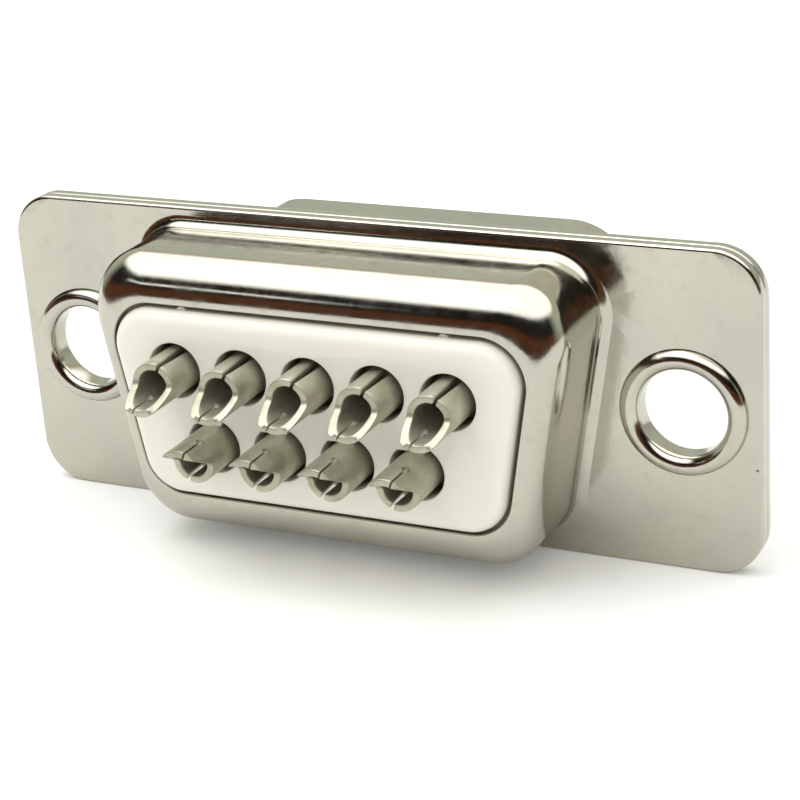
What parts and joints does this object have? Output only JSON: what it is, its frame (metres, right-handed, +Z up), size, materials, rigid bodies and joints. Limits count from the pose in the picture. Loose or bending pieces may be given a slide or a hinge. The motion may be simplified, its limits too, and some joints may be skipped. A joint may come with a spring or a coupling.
{
  "type": "d-sub connector",
  "caption": "D-shaped cable plug with solder cups: two drawn steel shells with curled mounting eyelets hold moulded insulators and turned pin contacts.",
  "frame": {"origin": "midway between the two mounting holes, on the rear face of the flange", "axes": "+X along the flange, +Z up towards the wide side of the D, +Y out of the plug's mating face, -Y towards the solder cups"},
  "size_m": [0.0308, 0.014, 0.0122],
  "materials": {
    "front_plating": "tin over drawn steel, satin",
    "rear_plating": "tin over drawn steel, satin",
    "front_moulding": "glass-filled polyester, moulded",
    "rear_moulding": "glass-filled polyester, moulded",
    "contact_plating": "tin over brass, turned"
  },
  "bodies": {
    "root": {"front_shell": "front_plating", "rear_shell": "rear_plating", "front_insulator": "front_moulding", "rear_insulator": "rear_moulding", "contact_1": "contact_plating", "contact_2": "contact_plating", "contact_3": "contact_plating", "contact_4": "contact_plating", "contact_5": "contact_plating", "contact_6": "contact_plating", "contact_7": "contact_plating", "contact_8": "contact_plating", "contact_9": "contact_plating"}
  },
  "joints": []
}
